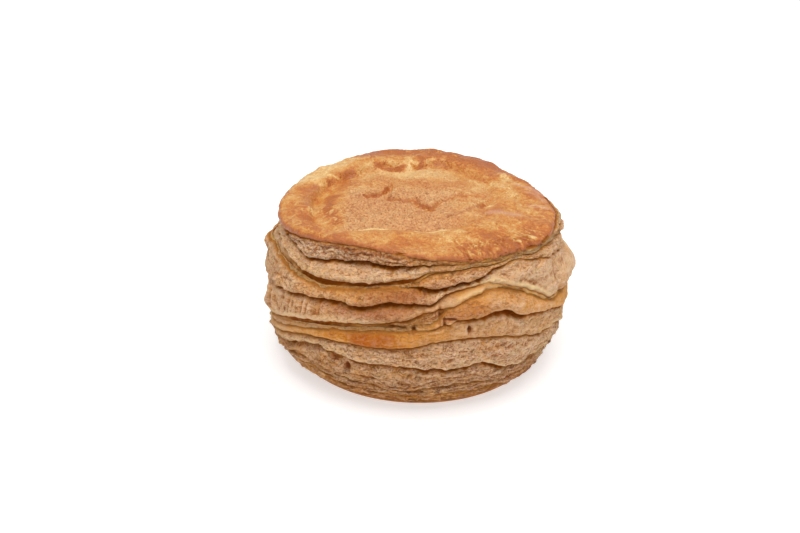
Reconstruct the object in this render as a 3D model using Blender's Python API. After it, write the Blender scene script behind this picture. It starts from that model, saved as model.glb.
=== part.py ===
"""A round puff-pastry pie as one solid: a low drum of folded dough with a glazed lid.

The side is a stack of dough folds. Each fold hangs over the one below it, and the lips
of the folds rise, dip and run together on their way round the drum. The lid is one flat
sheet with a rolled rim and a sunken round panel. The solid is one closed skin of rings,
from the middle of the lid, out over the rim, down the folds and in to the middle of the
base. The origin is on the table under the middle of the drum, +Z is up, and the best
side faces -Y. Bearings are in degrees round the drum: 0 faces -Y and 90 faces +X.
"""

import math

import bmesh
import bpy

# Driving dimensions, in millimetres.
MM = 0.001
BASE_RADIUS = 40.8
BELLY_RADIUS = 48.8
RIM_RADIUS = 43.5
RIM_HEIGHT = 47.5
FOOT_HEIGHT = 1.6
FOOT_INSET = 1.4

# How finely the skin is divided.
COLUMNS = 72
LID_RINGS = 13
BASE_RINGS = 2

# The drum's radius by height, as (height, radius).
BELLY = (
    (0, BASE_RADIUS),
    (4, 43.7),
    (12, 47.2),
    (22, BELLY_RADIUS),
    (32, 48.4),
    (40, 46.2),
    (RIM_HEIGHT, RIM_RADIUS),
)
# The belly is a little oval: (waves round the drum, cosine share, sine share).
OVAL = (2, 0.019, 0.013)
SHIFT_FRONT, SHIFT_RIGHT = 0.5, -0.26

# Outline of the lid by bearing, as (bearing, radius), and the height of its rim.
LID_OUTLINE = (
    (-170, 46), (-143, 44.6), (-120, 43.6), (-90, 43.4), (-62, 43), (-45, 41), (-28, 38.8),
    (-15, 38.8), (0, 40.8), (18, 43.2), (36, 44.6), (52, 45), (75, 44), (100, 42.6),
    (128, 42.2), (152, 44.2),
)
LID_RIM = (
    (-170, 49.4), (-140, 48.6), (-110, 47.6), (-82, 47.2), (-62, 47), (-43, 48.2), (-25, 49),
    (-7, 48.8), (9, 48.2), (30, 47.3), (50, 46.6), (70, 46.6), (90, 46.4), (125, 47.2), (150, 48.6),
)

# The folds from the top down. lip is the height of the fold's lower lip, reach how far
# the lip stands out, and plump how far the fold's middle swells, each by bearing.
FOLDS = (
    {
        "lip": ((-165, 45), (-125, 43), (-85, 44.6), (-63, 45.2), (-50, 43.9), (-41, 43.6), (-23, 44.8),
                (-10, 45.1), (3, 46.2), (17, 46.9), (30, 46.6), (45, 46.4), (62, 45.4), (85, 44.4),
                (110, 42.8), (140, 43.6)),
        "reach": ((-150, 0.8), (-60, 0.4), (-40, 1.6), (-5, 1.4), (12, 0.2), (60, 0.2), (115, 1.2)),
        "plump": ((0, 0.4),),
    },
    {
        "lip": ((-150, 39.6), (-120, 38.4), (-100, 39.6), (-79, 40.5), (-61, 41.2), (-48, 39.7), (-33, 39.5),
                (-17, 40.8), (-2, 42.8), (5, 44.3), (16, 45.4), (28, 45.5), (41, 46.1), (55, 45), (67, 44.4),
                (84, 42.2), (110, 38.6), (135, 37.6), (165, 40.6)),
        "reach": ((-120, 1.4), (-70, 0.4), (-35, 1.2), (0, 1), (25, 0.3), (70, 0.6), (125, 1.5), (170, 0.8)),
        "plump": ((-110, 0.6), (-30, 0.5), (40, 0.1), (120, 0.8)),
    },
    {
        "lip": ((-155, 36.4), (-120, 35.4), (-71, 38.4), (-47, 37.9), (-28, 38.2), (-6, 40.6), (6, 40.9),
                (14, 41.9), (22, 42.6), (31, 44.6), (38, 45), (45, 44), (57, 41.4), (71, 39.3), (95, 37.4),
                (125, 35.6), (150, 36.6), (175, 38)),
        "reach": ((-120, 0.2), (-40, -1.4), (-8, -0.8), (8, 1.2), (28, 0.8), (60, 0.3), (140, -0.6)),
        "plump": ((-110, 0), (-30, -1.4), (10, 0.5), (60, 0.2), (140, -0.6)),
    },
    {
        "lip": ((-160, 30), (-130, 28.6), (-100, 26.8), (-70, 28.6), (-61, 30.4), (-47, 33.1), (-37, 34.6),
                (-24, 35.3), (-12, 36.4), (6, 37.6), (12, 39.4), (23, 41), (34, 39.2), (42, 36.2), (50, 32),
                (56, 30.1), (65, 28.6), (75, 27.4), (92, 27), (115, 28), (145, 31.2), (175, 31.8)),
        "reach": ((-150, 1.6), (-90, 1.8), (-60, 0.8), (-25, 1.8), (5, 1.2), (30, 0.6), (58, 0.8), (80, 1),
                  (125, 1.4)),
        "plump": ((-150, 0.8), (-88, 2), (-60, 0.4), (0, 0.4), (40, 0.9), (80, 1), (120, 0.8)),
    },
    {
        "lip": ((-165, 24.8), (-130, 21.6), (-95, 18.4), (-69, 19), (-55, 22.4), (-41, 26.1), (-26, 29.7),
                (-10, 32.9), (1, 34.8), (8, 35.8), (15, 37), (26, 39.4), (33, 38.2), (41, 35.4), (49, 31.2),
                (56, 28.8), (65, 27.4), (80, 26), (125, 25.2), (160, 27)),
        "reach": ((-150, 1.2), (-80, 0.6), (-30, 0.8), (5, 0.3), (25, -0.7), (55, -0.5), (100, 0.8)),
        "plump": ((-150, 0.6), (-40, 0.5), (0, 0.1), (30, -0.8), (60, -0.4), (110, 0.4)),
    },
    {
        "lip": ((-165, 22.4), (-130, 19), (-95, 15.2), (-70, 14.6), (-54, 19.9), (-44, 22.7), (-30, 26.4),
                (-15, 29), (-5, 29.6), (4, 30.3), (14, 32.4), (27, 33.4), (35, 31), (44, 28.8), (54, 26.4),
                (65, 23), (80, 19.6), (95, 18.4), (125, 19.6), (160, 23.4)),
        "reach": ((-150, -0.4), (-60, -0.9), (-20, -1.2), (4, -0.6), (15, 0.8), (25, 1.4), (45, 1), (80, 0.5),
                  (130, -0.2)),
        "plump": ((-150, -0.4), (-30, -1), (2, -1.4), (16, 0.7), (45, 1), (75, 0.5), (130, -0.2)),
    },
    {
        "lip": ((-165, 17.6), (-130, 15.2), (-95, 12), (-67, 13.2), (-57, 16.1), (-44, 20), (-30, 22.7),
                (-15, 23.3), (-2, 24.5), (8, 26.3), (21, 26.2), (28, 25), (42, 21.3), (51, 19.4), (60, 18),
                (78, 14), (100, 11.6), (130, 14.4), (160, 18)),
        "reach": ((-150, 0.8), (-60, 0.1), (-20, 0.5), (20, 0.2), (60, 0.1), (120, 1)),
        "plump": ((0, 0.2), (150, 0.5)),
    },
    {
        "lip": ((-165, 12.6), (-130, 11.4), (-95, 9), (-62, 12.4), (-55, 13.8), (-44, 17), (-33, 18.4),
                (-19, 17.7), (-5, 17.9), (8, 17.3), (19, 16.6), (30, 14), (40, 12), (60, 10.8), (80, 9.4),
                (105, 8.4), (135, 10.6), (165, 12.8)),
        "reach": ((-150, 0.8), (-50, 0.9), (-10, 0.9), (20, 0.6), (60, 0.2), (120, 0.8)),
        "plump": ((0, 0.5),),
    },
    {
        "lip": ((-160, 8.2), (-110, 6.8), (-61, 9), (-43, 12), (-33, 10.6), (-17, 9.2), (-5, 8.4), (8, 9.8),
                (19, 9.6), (38, 8), (70, 7), (110, 6), (150, 7.6)),
        "reach": ((-150, 0.5), (-20, 0.3), (60, 0.3)),
        "plump": ((0, 0.1),),
    },
    {
        "lip": ((-160, 4.8), (-110, 4.4), (-52, 6.4), (-39, 7.2), (-28, 6.4), (-10, 5.7), (13, 6.1), (35, 5.1),
                (80, 4.4), (140, 4.8)),
        "reach": ((0, 0.3),),
        "plump": ((0, 0.1),),
    },
)
# The rings of one fold, from under the lip above to its own lip: (share of the way
# down, share of the plump swelling, share of the lip's reach, share of the groove).
FOLD_RINGS = ((0.1, 0.1, 0.0, 1.0), (0.45, 1.0, 0.4, 0.0), (0.86, 0.6, 1.0, 0.0), (1.0, 0.0, 0.5, 0.4))
GROOVE = 1.1
FULL_FOLD = 3.0

# The lid's relief, in millimetres, with places as (x, y) on the lid.
RIM_ROLL = 1.1
RIM_ROLL_AT = 0.86
PANEL_MIDDLE = (-6, 3)
PANEL_SIZE = (26, 24)
PANEL_DROP = 1.5
PANEL_TILT = (-0.035, 0.025)
MOUND_MIDDLE = (-4, 10)
MOUND_SIZE = (15, 8)
MOUND_RISE = 1.8


def ease(share):
    """0 below 0, 1 above 1, and a smooth rise between them."""
    share = min(1.0, max(0.0, share))
    return share * share * (3 - 2 * share)


def slope(points, n):
    """The slope of the curve below at its n-th point, from the points beside it."""
    before = points[max(n - 1, 0)]
    after = points[min(n + 1, len(points) - 1)]
    return (after[1] - before[1]) / (after[0] - before[0])


def curve(points, at):
    """The value at a place on the smooth curve through (place, value) points."""
    at = min(max(at, points[0][0]), points[-1][0])
    n = next(n for n in range(len(points) - 1) if at <= points[n + 1][0])
    (start, first), (end, last) = points[n], points[n + 1]
    span = end - start
    s = (at - start) / span
    bend = s * (1 - s) ** 2 * slope(points, n) - s * s * (1 - s) * slope(points, n + 1)
    return first + (last - first) * ease(s) + span * bend


def around(points, bearing):
    """The value at a bearing from (bearing, value) points that close round the drum."""
    before = [(place - 360, value) for place, value in points[-2:]]
    after = [(place + 360, value) for place, value in points[:2]]
    return curve((*before, *points, *after), bearing)


def belly_radius(bearing, height):
    """The drum's radius before any folds, which meets the lid's outline at the rim."""
    turn = math.radians(bearing)
    waves, cosine_share, sine_share = OVAL
    oval = 1 + cosine_share * math.cos(waves * turn) + sine_share * math.sin(waves * turn)
    shift = SHIFT_FRONT * math.cos(turn) + SHIFT_RIGHT * math.sin(turn)
    radius = oval * curve(BELLY, height) + shift
    at_rim = oval * RIM_RADIUS + shift
    shoulder = ease((height - 32) / (RIM_HEIGHT - 32))
    return radius + shoulder * (around(LID_OUTLINE, bearing) - at_rim)


def fold_ring(fold, above, bearing, ring):
    """(radius, height) of one ring of a fold at a bearing. above is the lip over it."""
    down, plump_share, reach_share, groove_share = ring
    top = around(above, bearing)
    depth = max(0.05, top - around(fold["lip"], bearing))
    height = top - depth * down
    fullness = ease(depth / FULL_FOLD)
    swell = plump_share * around(fold["plump"], bearing) + reach_share * around(fold["reach"], bearing)
    return belly_radius(bearing, height) + fullness * (swell - groove_share * GROOVE), height


def lid_height(x, y, bearing, share):
    """Height of the lid's skin over (x, y), share of the way out to its outline."""
    height = around(LID_RIM, bearing)
    if share < 1:
        level = RIM_HEIGHT + 0.6
        height = level + (height - level) * ease(share)
    roll = ease(share / RIM_ROLL_AT) if share < RIM_ROLL_AT else math.sqrt(
        max(0.0, 1 - ((share - RIM_ROLL_AT) / (1 - RIM_ROLL_AT)) ** 2)
    )
    out_x = (x - PANEL_MIDDLE[0]) / PANEL_SIZE[0]
    out_y = (y - PANEL_MIDDLE[1]) / PANEL_SIZE[1]
    drop = PANEL_DROP + PANEL_TILT[0] * x + PANEL_TILT[1] * y
    sunk = drop * ease((1.08 - math.hypot(out_x, out_y)) / 0.24)
    mound = math.hypot((x - MOUND_MIDDLE[0]) / MOUND_SIZE[0], (y - MOUND_MIDDLE[1]) / MOUND_SIZE[1])
    return height + RIM_ROLL * roll - sunk + MOUND_RISE * ease(1.2 - mound)


def place(bearing, radius, height):
    """The point at a bearing, radius and height, in metres."""
    turn = math.radians(bearing)
    return (radius * math.sin(turn) * MM, -radius * math.cos(turn) * MM, height * MM)


def lid_point(bearing, share):
    radius = share * around(LID_OUTLINE, bearing)
    x, y, _ = place(bearing, radius, 0)
    return place(bearing, radius, lid_height(x / MM, y / MM, bearing, share))


def rings():
    """One function of the bearing for each ring of the skin, from lid to base."""
    made = []
    for n in range(LID_RINGS):
        share = math.sin(math.pi / 2 * n / (LID_RINGS - 1))
        made.append(lambda bearing, share=share: lid_point(bearing, share))
    above = LID_RIM
    for fold in FOLDS:
        for ring in FOLD_RINGS:
            made.append(
                lambda bearing, fold=fold, above=above, ring=ring: place(
                    bearing, *fold_ring(fold, above, bearing, ring)
                )
            )
        above = fold["lip"]
    made.append(lambda bearing: place(bearing, belly_radius(bearing, FOOT_HEIGHT), FOOT_HEIGHT))
    for n in range(BASE_RINGS):
        made.append(
            lambda bearing, n=n: place(
                bearing, (belly_radius(bearing, 0) - FOOT_INSET) * (1 - n / BASE_RINGS), 0
            )
        )
    made.append(lambda bearing: (0, 0, 0))
    return made


def pastry():
    """A ball of as many rings as the pastry has, each ring then moved to its place."""
    places = rings()
    spans = len(places) - 1
    skin = bmesh.new()
    bmesh.ops.create_uvsphere(skin, u_segments=COLUMNS, v_segments=spans, radius=1)
    for vert in skin.verts:
        ring = round(math.acos(max(-1.0, min(1.0, vert.co.z))) / math.pi * spans)
        bearing = math.degrees(math.atan2(vert.co.x, -vert.co.y))
        vert.co = places[ring](bearing)
    bmesh.ops.triangulate(skin, faces=skin.faces)
    mesh = bpy.data.meshes.new("pastry")
    skin.to_mesh(mesh)
    skin.free()
    mesh.shade_smooth()
    made = bpy.data.objects.new("pastry", mesh)
    bpy.context.scene.collection.objects.link(made)
    return made


def baked_dough():
    """Pale baked puff pastry: matt, warm beige, no metal."""
    dough = bpy.data.materials.new("baked_dough")
    dough.use_nodes = True
    shader = dough.node_tree.nodes["Principled BSDF"]
    shader.inputs["Base Color"].default_value = (0.62, 0.36, 0.16, 1)
    shader.inputs["Roughness"].default_value = 0.6
    shader.inputs["Metallic"].default_value = 0
    return dough


for old in list(bpy.data.objects):
    bpy.data.objects.remove(old)
pastry().data.materials.append(baked_dough())
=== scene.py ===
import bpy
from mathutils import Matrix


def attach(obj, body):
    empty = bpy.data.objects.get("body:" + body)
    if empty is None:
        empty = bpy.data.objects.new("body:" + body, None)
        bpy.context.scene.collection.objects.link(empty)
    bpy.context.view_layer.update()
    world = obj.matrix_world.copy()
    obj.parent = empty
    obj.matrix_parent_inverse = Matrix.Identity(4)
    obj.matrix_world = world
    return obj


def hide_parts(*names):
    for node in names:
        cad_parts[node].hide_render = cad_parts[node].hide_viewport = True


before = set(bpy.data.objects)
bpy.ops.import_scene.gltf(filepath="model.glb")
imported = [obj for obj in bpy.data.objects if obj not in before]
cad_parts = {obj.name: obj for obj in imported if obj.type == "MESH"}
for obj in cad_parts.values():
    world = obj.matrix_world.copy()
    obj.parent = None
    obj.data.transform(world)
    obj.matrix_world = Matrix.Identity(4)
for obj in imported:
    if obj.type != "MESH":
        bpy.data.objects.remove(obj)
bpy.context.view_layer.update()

import math

import bmesh
import bpy
import numpy as np
from mathutils import Vector

# ---------------------------------------------------------------------------
# The side: a stack of puff-pastry folds
# One length of laminated dough, wound and pressed into a drum. In the oven its folds
# puff, hang over one another and dry to a pale, floury, wrinkled skin.
# ---------------------------------------------------------------------------

# All lengths here are in millimetres and all bearings in degrees: 0 is the front, 90
# the right. They become metres when a mesh is made.
MM = 0.001
COLUMNS = 900
BEARINGS = np.arange(COLUMNS) * 360 / COLUMNS
FROM_FRONT = (BEARINGS + 180) % 360 - 180

# The drum's radius by height, the shares by which it is oval, its lean, and the height
# from which its shoulder draws in to the lid.
BELLY = ((0, 40.8), (4, 43.7), (12, 47.2), (22, 48.8), (32, 48.4), (40, 46.2), (47.5, 43.5))
WIDEST = max(radius for _, radius in BELLY)
OVAL_ALONG, OVAL_ACROSS = 0.019, 0.013
LEAN_FRONT, LEAN_RIGHT = 0.5, -0.26
SHOULDER_FROM = 32

# The lid's outline, as its radius by bearing, and the height of its rim by bearing.
LID_OUTLINE = (
    (-170, 46), (-143, 44.6), (-120, 43.6), (-90, 43.4), (-62, 43), (-45, 41), (-28, 38.8),
    (-15, 38.8), (0, 40.8), (18, 43.2), (36, 44.6), (52, 45), (75, 44), (100, 42.6),
    (128, 42.2), (152, 44.2),
)
LID_RIM = (
    (-170, 49.4), (-140, 48.6), (-110, 47.6), (-82, 47.2), (-67, 46.8), (-54, 47.6), (-34, 48.8),
    (-16, 49.1), (2, 48.5), (17, 47.8), (30, 47.1), (37, 47.8), (50, 46.6), (70, 46.6), (90, 46.4),
    (125, 47.2), (150, 48.6),
)

# Each fold, from the lid down. rows is how finely its face is made. The rest goes by
# bearing: lip is the height of its lower lip, reach is how far the lip stands out,
# plump is how far its middle swells, cave is how far it starts back under the lip
# above, toast is how golden it is, flour is how dusty, and skin is how wrinkled. Some
# have a raised ridge along the lip, or pleats that hang from their root.
FOLDS = (
    dict(  # the cut edge just under the lid
        rows=18,
        lip=((-165, 45), (-125, 43), (-85, 44.9), (-70, 45.5), (-58, 45.1), (-49, 43.9), (-41, 43.6),
             (-32, 44.7), (-20, 45.5), (-8, 45.8), (3, 46.4), (14, 46.7), (24, 46.6), (35, 46.9),
             (48, 46.2), (62, 45.6), (85, 44.6), (110, 42.8), (140, 43.6)),
        reach=((-150, 1), (-75, 0.6), (-50, 1.2), (-5, 1.4), (12, 0.3), (60, 0.4), (115, 1.2)),
        plump=((-150, 0.3), (-40, 0.3), (20, 0), (110, 0.4)),
        cave=((0, 0.3), (100, 0.3), (-100, 0.4)),
        toast=((-45, 0.02), (-15, 0.25), (0, 0.4), (20, 0.5), (60, 0.2), (-100, 0.05)),
        flour=((-45, 1), (-20, 0.6), (0, 0.3), (25, 0.15), (60, 0.7), (180, 0.7)),
        skin=((-45, 1.3), (0, 1.2), (25, 0.6), (90, 1)),
    ),
    dict(  # the first full fold
        rows=20,
        lip=((-150, 39.6), (-120, 38.4), (-100, 39.8), (-79, 40.7), (-66, 41.4), (-58, 40.9),
             (-48, 39.7), (-38, 39.4), (-28, 39.8), (-17, 40.8), (-7, 42.1), (0, 43.2), (6, 44.6),
             (16, 45.5), (28, 45.9), (38, 46.4), (50, 45.6), (67, 44.8), (84, 42.5), (110, 38.6),
             (135, 37.6), (165, 40.6)),
        reach=((-120, 1.4), (-70, 0.5), (-35, 1), (0, 0.8), (25, 0.2), (70, 0.5), (125, 1.5), (170, 0.8)),
        plump=((-110, 0.6), (-30, 0.5), (40, 0.1), (120, 0.8)),
        cave=((-150, 1.6), (-75, 0.5), (-50, 0.7), (-20, 1.1), (4, 0.9), (14, 0.5), (40, 0.4),
              (80, 0.6), (120, 1.4)),
        toast=((-45, 0.15), (-10, 0.12), (20, 0.3), (60, 0.2)),
        flour=((-45, 0.8), (0, 0.8), (30, 0.3), (60, 0.7), (180, 0.7)),
        skin=((0, 0.8),),
        ridge=((-90, 0.2), (-40, 0.35), (0, 0.25), (20, 0), (180, 0.3)),
    ),
    dict(  # a smooth strip of inner dough, laid bare on the left
        rows=12,
        lip=((-155, 38.4), (-120, 36.8), (-95, 38), (-71, 38.6), (-57, 38.6), (-47, 37.9), (-36, 37.5),
             (-28, 38.2), (-17, 39.5), (-6, 40.8), (0, 41.9), (5, 43.8), (10, 44.9), (30, 45.8),
             (40, 46.3), (50, 45.5), (67, 44.7), (84, 42.4), (110, 38.4), (135, 37.2), (165, 39.6)),
        reach=((-150, -0.4), (-70, -0.3), (-35, -0.6), (-5, -0.5), (10, 0), (90, 0), (140, -0.4)),
        plump=((-150, -0.6), (-70, -0.3), (-35, -0.6), (-5, -0.5), (10, 0), (90, 0), (140, -0.6)),
        cave=((-150, 1), (-70, 0.5), (-35, 0.5), (0, 0.5), (10, 0.3), (90, 0.3), (140, 1)),
        toast=((-85, 0.05), (-60, 0.25), (-35, 0.5), (0, 0.5), (60, 0.4), (120, 0.2)),
        flour=((-85, 0.8), (-60, 0.4), (-42, 0), (20, 0), (90, 0.5)),
        skin=((-85, 0.8), (-60, 0.4), (-42, 0.15), (20, 0.12), (90, 0.6)),
    ),
    dict(  # a torn sliver that comes out on the right
        rows=16,
        lip=((-155, 38.3), (-120, 36.7), (-95, 37.9), (-71, 38.5), (-36, 37.4), (-17, 39.4), (-6, 40.7),
             (1, 41.4), (6, 40.9), (11, 41.5), (17, 42.4), (23, 42.9), (28, 44), (32, 45), (36, 45.6),
             (45, 44.4), (57, 41.9), (71, 39.8), (95, 37.6), (125, 35.6), (150, 36.6), (175, 38)),
        reach=((-120, 0.1), (-10, 0.2), (2, 1), (15, 1.5), (28, 1), (45, 0.6), (100, 0.8), (150, 0.3)),
        plump=((-120, 0), (-5, 0), (12, 0.5), (60, 0.2), (120, 0.5)),
        cave=((-120, 0.2), (0, 0.6), (20, 0.8), (60, 0.6), (120, 1.2)),
        toast=((10, 0.3), (25, 0.25), (60, 0.2)),
        flour=((10, 0.35), (60, 0.7)),
        skin=((0, 1),),
    ),
    dict(  # the big rough fold: broad on the left, lumpy over the arch on the right
        rows=24,
        lip=((-160, 30), (-130, 28.6), (-100, 26.8), (-80, 27.6), (-70, 28.6), (-61, 30.4), (-53, 32),
             (-47, 33.1), (-37, 34.6), (-28, 35.3), (-15, 35.8), (-10, 36.9), (0, 37.1), (6, 37.4),
             (9, 38.9), (15, 40.1), (24, 41), (34, 39.2), (42, 36.2), (49, 32.8), (53, 30.4), (56, 30.1),
             (65, 28.6), (75, 27.4), (92, 27), (115, 28), (145, 31.2), (175, 31.8)),
        reach=((-150, 1.6), (-90, 1.6), (-60, 0.8), (-25, 1.6), (5, 0.8), (20, 0.2), (45, 0.3), (56, 0.4),
               (68, 1), (84, 1), (125, 1.4)),
        plump=((-150, 0.8), (-88, 1.8), (-60, 0.7), (0, 0.6), (20, 0.2), (45, 0.8), (75, 0.8), (120, 0.8)),
        cave=((-150, 0.4), (-40, 0.3), (-5, 0.4), (4, 2.4), (24, 2), (34, 0.8), (60, 0.5),
              (100, 1), (150, 0.6)),
        toast=((-60, 0.15), (-20, 0.35), (0, 0.3), (14, 0.1), (45, 0.02), (80, 0)),
        flour=((-60, 0.5), (-20, 0.15), (10, 0.5), (45, 1), (80, 1), (160, 0.6)),
        skin=((-60, 1), (0, 0.8), (40, 0.6), (65, 0.5), (90, 0.5)),
        ridge=((-60, 0), (-5, 0.1), (8, 0.6), (22, 0.7), (32, 1), (50, 1), (56, 0), (90, 0),
               (180, 0.3)),
    ),
    dict(  # a pleated fold on the left that thins to a smooth golden arch on the right
        rows=22,
        lip=((-165, 24.8), (-130, 21.6), (-95, 18.4), (-80, 17.4), (-69, 18.4), (-55, 22.4), (-47, 25),
             (-38, 27.2), (-26, 29.5), (-10, 31.8), (-2, 33.3), (5, 35.2), (9, 35.8), (14, 36.7),
             (20, 38.4), (26, 39.5), (33, 38.4), (41, 35.6), (49, 31.4), (56, 29), (65, 27.6), (75, 26.4),
             (92, 25.6), (125, 25.4), (160, 27)),
        reach=((-150, 1.2), (-80, 0.5), (-30, 0.8), (2, 0.3), (15, 0.2), (55, 0.2), (75, 0.2), (100, 0.8)),
        plump=((-150, 0.9), (-40, 0.9), (0, 0.3), (15, 0.3), (55, 0.4), (75, 0.4), (110, 0.6)),
        cave=((-150, 2), (-85, 0.9), (-66, 1), (-45, 1.3), (-20, 1.6), (4, 1.3), (10, 0.9),
              (18, 0.7), (28, 0.3), (45, 0.1), (60, 0.4), (70, 0.8), (110, 1.8)),
        toast=((-60, 0.2), (-20, 0.2), (5, 0.3), (16, 0.45), (45, 0.45), (65, 0.4), (90, 0.2)),
        flour=((-60, 0.6), (-20, 0.7), (5, 0.2), (20, 0), (60, 0.05), (95, 0.6)),
        skin=((-60, 0.7), (-10, 0.6), (20, 0.25), (60, 0.3), (110, 1)),
        ridge=((-70, 0.2), (-50, 0.7), (-5, 0.4), (8, 0.3), (20, 0.9), (45, 0.8), (60, 0),
               (180, 0.3)),
        pleats=((-85, 0.5), (-60, 1), (-38, 0.9), (-25, 0.4), (0, 0.3), (15, 0), (90, 0),
                (180, 0.5)),
    ),
    dict(  # a narrow golden strip under it, fanning into leaves towards the middle
        rows=12,
        lip=((-165, 23.6), (-130, 20.2), (-95, 16.8), (-72, 16.4), (-58, 20.2), (-44, 24.1), (-34, 26.3),
             (-22, 28.4), (-15, 29.6), (-5, 30.2), (3, 31.2), (8, 33.2), (11, 35.9), (20, 38.2),
             (26, 39.3), (33, 38.2), (41, 35.4), (49, 31.2), (56, 28.8), (65, 27.4), (75, 26.2), (92, 25.2),
             (125, 24.6), (160, 26)),
        reach=((-150, -0.5), (-70, 0), (-45, -0.2), (-5, -0.1), (8, -0.3), (14, 0), (90, 0),
               (130, -0.4)),
        plump=((-150, -0.4), (-70, 0), (-45, -0.2), (-12, -0.1), (8, -0.4), (14, 0), (90, 0),
               (130, -0.4)),
        cave=((-150, 1), (-90, 0.4), (-65, 0.2), (-45, 0.6), (-12, 0.4), (5, 0.6), (12, 0.2),
              (90, 0.2), (130, 0.8)),
        toast=((-60, 0.5), (-20, 0.6), (0, 0.4), (10, 0.4)),
        flour=((-60, 0), (0, 0.1)),
        skin=((-40, 0.2), (-8, 0.7), (5, 0.9)),
    ),
    dict(  # the thick golden lobe on the right
        rows=20,
        lip=((-165, 22.4), (-130, 19), (-95, 15.2), (-70, 14.8), (-54, 19.7), (-44, 22.7), (-30, 26.3),
             (-20, 27.9), (-12, 28.9), (-4, 29.4), (4, 30.2), (9, 31.4), (14, 32.5), (21, 32.6),
             (27, 33.6), (32, 33), (36, 30.4), (44, 28.8), (54, 26.4), (65, 23), (80, 19.6), (95, 18.4),
             (125, 19.6), (160, 23.4)),
        reach=((-150, 0.2), (-60, 0.3), (-10, 0.3), (4, 0.2), (15, 1), (25, 1.5), (45, 1),
               (80, 0.5), (130, 0.2)),
        plump=((-150, 0), (-10, 0), (4, 0), (16, 0.8), (45, 0.9), (75, 0.5), (130, 0)),
        cave=((-150, 0.3), (-10, 0.2), (6, 0.5), (14, 0.3), (60, 0.1), (100, 0.4)),
        toast=((-40, 0.2), (0, 0.3), (12, 0.55), (22, 0.55), (34, 0.45), (55, 0.5), (75, 0.5),
               (100, 0.1)),
        flour=((-40, 0.4), (12, 0.15), (28, 0.45), (40, 0.6), (52, 0.3), (75, 0.2), (100, 0.6)),
        skin=((0, 0.6), (30, 0.55), (60, 0.4), (90, 0.8)),
    ),
    dict(  # the orange fold that the oven caught
        rows=20,
        lip=((-165, 17.6), (-130, 15.2), (-95, 12), (-78, 11.6), (-67, 13), (-57, 16.1), (-44, 20.1),
             (-34, 22.4), (-26, 23.1), (-15, 23.3), (-8, 23.5), (-2, 24.5), (4, 25.7), (9, 26.4),
             (18, 26.4), (28, 25), (42, 21.2), (51, 19.3), (60, 18.2), (72, 14.8), (86, 12.6),
             (105, 11.8), (130, 14.4), (160, 18)),
        reach=((-150, 0.8), (-60, 0.2), (-20, 0.4), (20, 0.3), (60, 0.2), (120, 1)),
        plump=((-150, 0.5), (-50, 0.3), (-15, 0.7), (20, 0.5), (60, 0.3), (130, 0.6)),
        cave=((-150, 0.9), (-50, 0.3), (-12, 0.1), (4, 0.3), (12, 0.9), (22, 1.3), (33, 2),
              (42, 0.7), (60, 0.5), (110, 1)),
        toast=((-75, 0.15), (-50, 0.5), (-32, 0.85), (-15, 1), (-2, 0.85), (8, 0.45), (22, 0.22), (50, 0.2),
               (80, 0.2), (130, 0.15)),
        flour=((-75, 0.4), (-40, 0.15), (-15, 0), (5, 0.1), (22, 0.3), (60, 0.4), (120, 0.6)),
        skin=((-40, 0.5), (-12, 0.35), (20, 0.6), (90, 1)),
        ridge=((-60, 0.4), (-30, 0), (40, 0), (60, 0.7), (85, 0.7), (120, 0.2)),
    ),
    dict(  # the broad dusty fold
        rows=22,
        lip=((-165, 12.6), (-130, 11.4), (-95, 9), (-74, 10), (-62, 12.6), (-55, 14), (-44, 17.3),
             (-37, 19), (-30, 19), (-24, 18.2), (-12, 17.9), (-5, 18), (4, 17.4), (14, 17), (24, 17.2),
             (30, 14.2), (38, 11.9), (46, 11.8), (58, 12.6), (75, 10.4), (105, 8.4), (135, 10.6),
             (165, 12.8)),
        reach=((-150, 0.8), (-50, 0.7), (-10, 0.9), (20, 0.8), (40, 0.3), (60, 0.2), (120, 0.8)),
        plump=((-150, 0.5), (-40, 0.3), (20, 0.6), (60, 0.5)),
        cave=((-150, 0.9), (-60, 0.4), (-20, 0.7), (20, 0.8), (60, 0.5), (120, 0.9)),
        toast=((-60, 0.1), (-10, 0.12), (60, 0)),
        flour=((-60, 0.5), (-10, 0.7), (45, 1), (90, 0.8)),
        skin=((0, 1.05),),
        ridge=((-70, 0.7), (-35, 0.6), (-10, 0.2), (25, 0.4), (50, 0.5), (80, 0)),
    ),
    dict(  # thinner folds pressed together near the base
        rows=22,
        lip=((-160, 8.2), (-110, 6.8), (-75, 7.4), (-61, 9), (-43, 12), (-33, 10.6), (-17, 9.1), (-8, 8),
             (0, 8.5), (10, 10.2), (19, 9.9), (28, 8.8), (38, 7.8), (70, 7.2), (110, 6), (150, 7.6)),
        reach=((-150, 0.5), (-20, 0.4), (60, 0.3)),
        plump=((0, 0.2),),
        cave=((-150, 1), (-60, 0.9), (-42, 1.8), (-22, 1.2), (0, 1.5), (22, 1.6), (34, 1.2),
              (60, 0.4), (110, 0.9)),
        toast=((-30, 0.35), (0, 0.25), (60, 0.15)),
        flour=((-30, 0.35), (0, 0.35), (60, 0.7)),
        skin=((0, 1.1),),
    ),
    dict(  # a thin fold just over the foot
        rows=14,
        lip=((-160, 5.2), (-110, 4.6), (-70, 5.4), (-52, 8.2), (-39, 9), (-28, 6.6), (-18, 6.2), (-8, 5.6),
             (13, 6.2), (25, 5.7), (35, 5.2), (80, 4.6), (140, 5)),
        reach=((0, 0.3),),
        plump=((0, 0.1),),
        cave=((0, 0.8),),
        toast=((0, 0.3),),
        flour=((0, 0.4), (90, 0.6)),
        skin=((0, 1),),
    ),
    dict(  # the browned foot
        rows=10,
        lip=((-160, 1.8), (-60, 2), (-47, 3), (-25, 2.6), (-6, 1.9), (20, 2.4), (46, 2), (110, 1.6)),
        reach=((0, 0.2),),
        plump=((0, 0.1),),
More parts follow.
